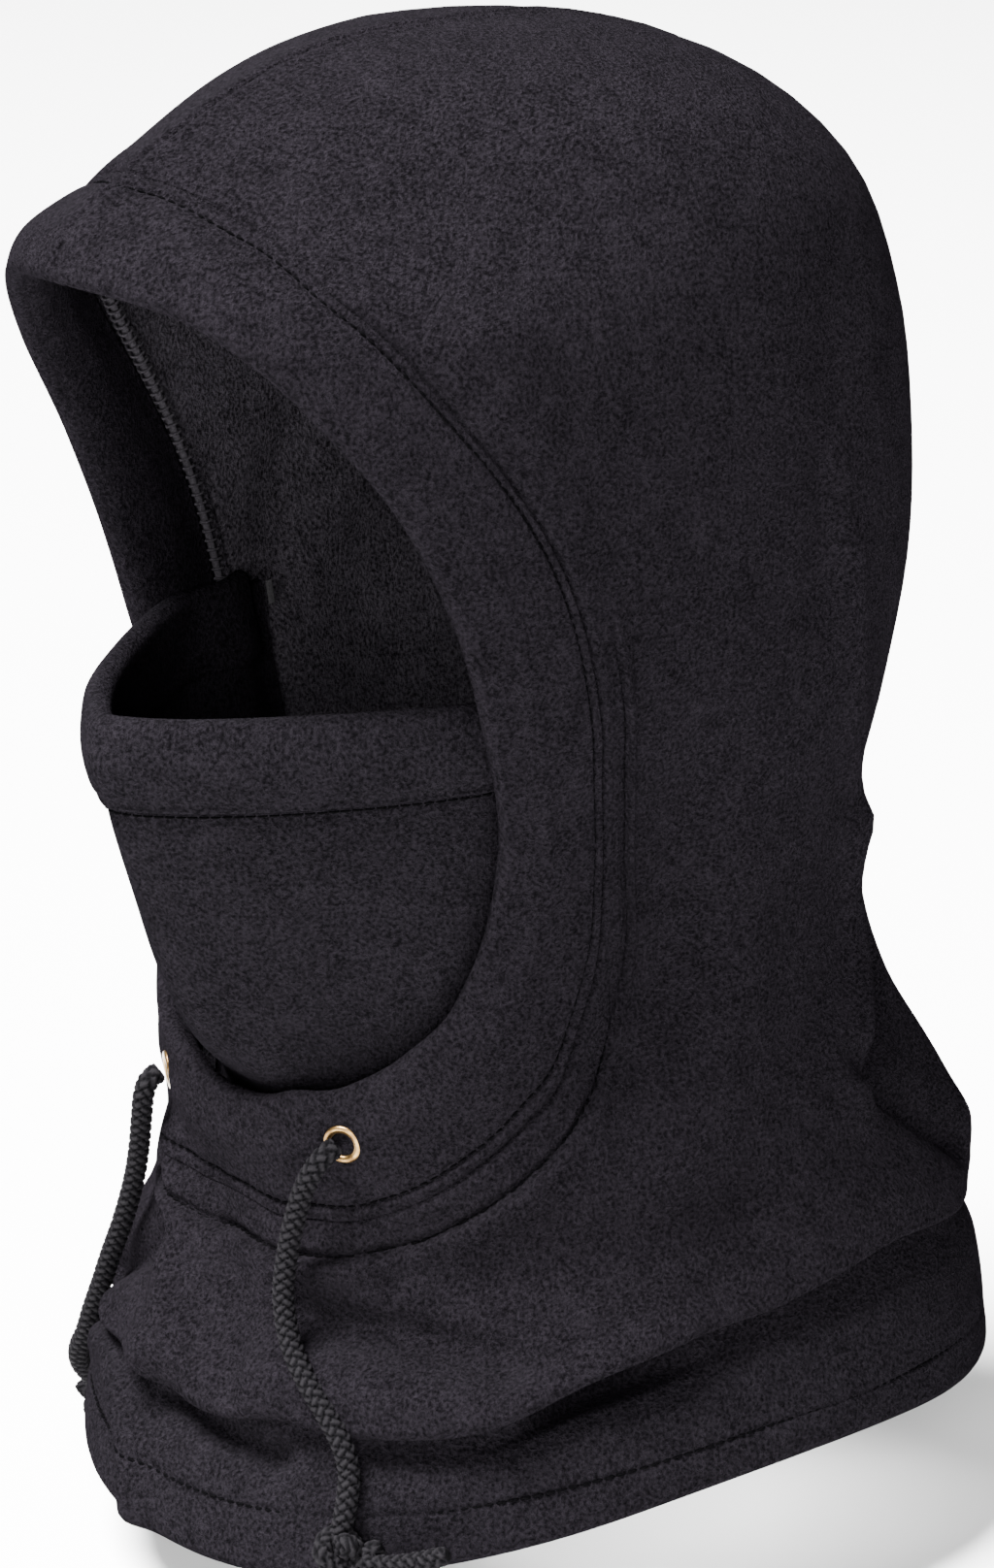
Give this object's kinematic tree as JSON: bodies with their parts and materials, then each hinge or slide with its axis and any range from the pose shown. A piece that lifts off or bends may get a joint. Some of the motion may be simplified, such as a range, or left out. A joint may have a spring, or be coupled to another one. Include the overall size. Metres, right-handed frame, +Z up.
{
  "type": "balaclava",
  "caption": "Fleece balaclava: a fitted hood with a corded face band and brass eyelets, a mask that tips down below the mouth, and a doubled neck collar.",
  "frame": {"origin": "top of the crown, on the garment's middle plane, where the wearer's head holds it up", "axes": "+Z up; the face opening looks along -Y; the wearer's left is +X"},
  "size_m": [0.2324, 0.2812, 0.4049],
  "materials": {
    "fleece": "brushed polar fleece",
    "brass": "antique brass",
    "cord": "braided cord",
    "thread": "sewing thread"
  },
  "bodies": {
    "hood": {"hood_panel_left": "fleece", "hood_panel_right": "fleece", "face_band": "fleece", "mask_panel": "fleece", "neck_collar": "fleece", "drawcord_run": "cord", "eyelet_left": "brass", "eyelet_right": "brass", "eyelet_washer_left": "brass", "eyelet_washer_right": "brass", "bar_tack_left": "thread", "bar_tack_right": "thread", "crown_seam_thread": "thread", "band_topstitch_thread": "thread", "mask_seam_thread": "thread", "collar_hem_thread": "thread", "seam_overlock_left": "thread", "seam_overlock_right": "thread"},
    "mask_hem": {"mask_top_band": "fleece", "mask_hem_thread": "thread"},
    "cord_left": {"drawcord_left": "cord", "cord_knot_left": "cord", "cord_tip_left": "cord"},
    "cord_right": {"drawcord_right": "cord", "cord_knot_right": "cord", "cord_tip_right": "cord"}
  },
  "joints": [
    {"name": "mask_tilt_down", "type": "hinge", "parent": "hood", "child": "mask_hem", "pos_m": [0, -0.04, -0.166], "axis": [1, 0, 0], "range_deg": [0, 20], "deforming": ["mask_panel"]},
    {"name": "cord_left_swing", "type": "hinge", "parent": "hood", "child": "cord_left", "pos_m": [0.0374, -0.1032, -0.2812], "axis": [-1, 0, 0], "range_deg": [0, 50]},
    {"name": "cord_right_swing", "type": "hinge", "parent": "hood", "child": "cord_right", "pos_m": [-0.0374, -0.1032, -0.2812], "axis": [-1, 0, 0], "range_deg": [0, 50]}
  ]
}
